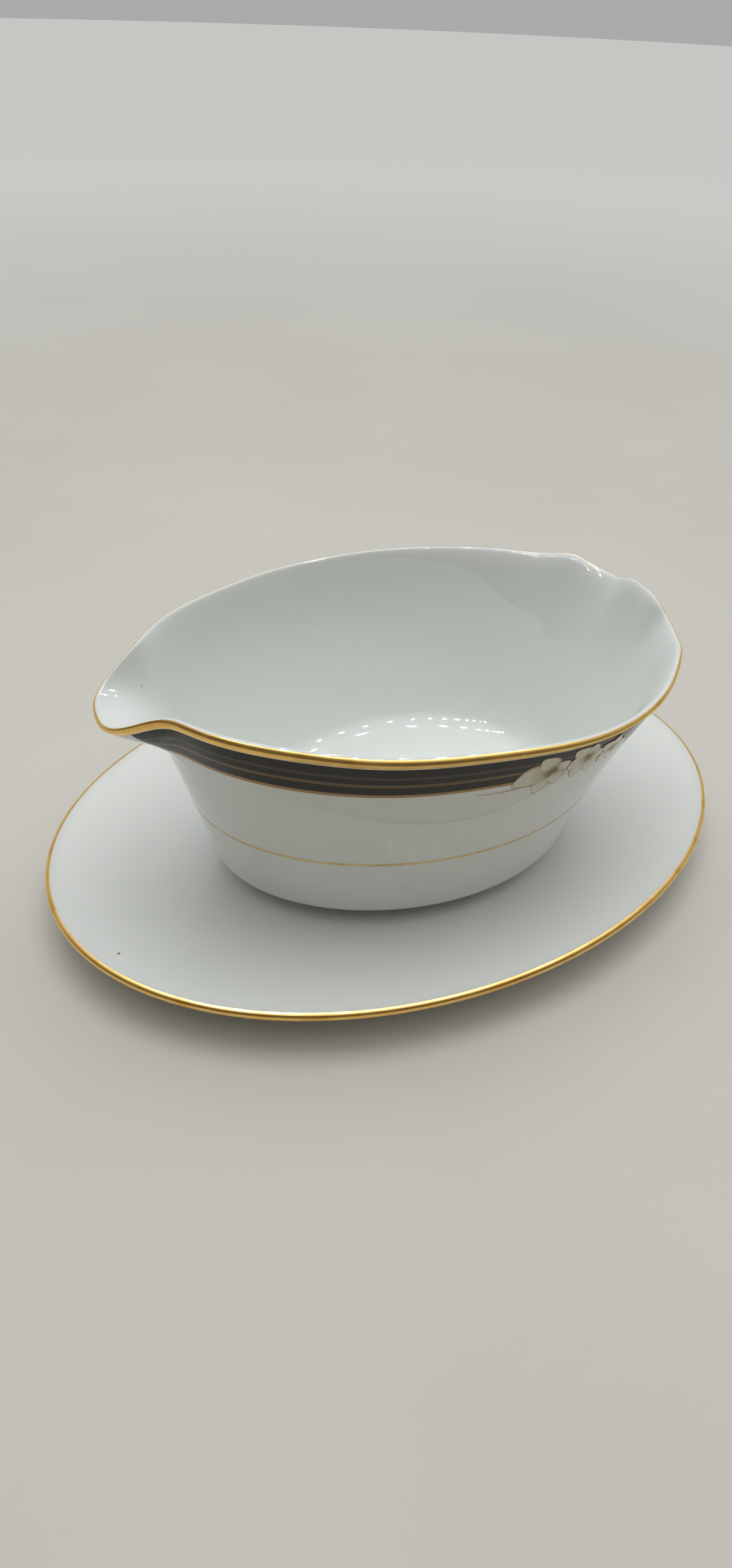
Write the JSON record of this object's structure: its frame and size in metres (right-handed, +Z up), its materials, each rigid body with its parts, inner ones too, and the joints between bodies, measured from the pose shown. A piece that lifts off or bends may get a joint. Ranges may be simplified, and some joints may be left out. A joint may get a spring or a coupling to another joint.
{
  "type": "gravy boat",
  "caption": "Oval glazed porcelain gravy boat with a pouring lip at each end, gilded and striped under the rim, lifting off its own gilded underplate.",
  "frame": {"origin": "centre of the whole object's box at the level it stands on, under the underplate's foot ring", "axes": "+X along the length towards the blunt end, away from the narrow spout, +Y across the bowl towards its back, +Z up"},
  "size_m": [0.2348, 0.161, 0.089],
  "materials": {
    "porcelain": "clear gloss glaze",
    "gilding": "burnished gold",
    "charcoal_stripes": "glossy fired decal",
    "lily_enamel": "glossy fired decal"
  },
  "bodies": {
    "underplate": {"underplate": "porcelain", "underplate_rim_gilding": "gilding"},
    "boat": {"bowl": "porcelain", "bowl_rim_gilding": "gilding", "bowl_hairline": "gilding", "front_spout_band": "charcoal_stripes", "back_spout_band": "charcoal_stripes", "blunt_end_band": "charcoal_stripes", "front_lily_decal": "lily_enamel", "back_lily_decal": "lily_enamel"}
  },
  "joints": [
    {"name": "boat_lift", "type": "slide", "parent": "underplate", "child": "boat", "axis": [0, 0, 1], "range_m": [0, 0.11]}
  ]
}
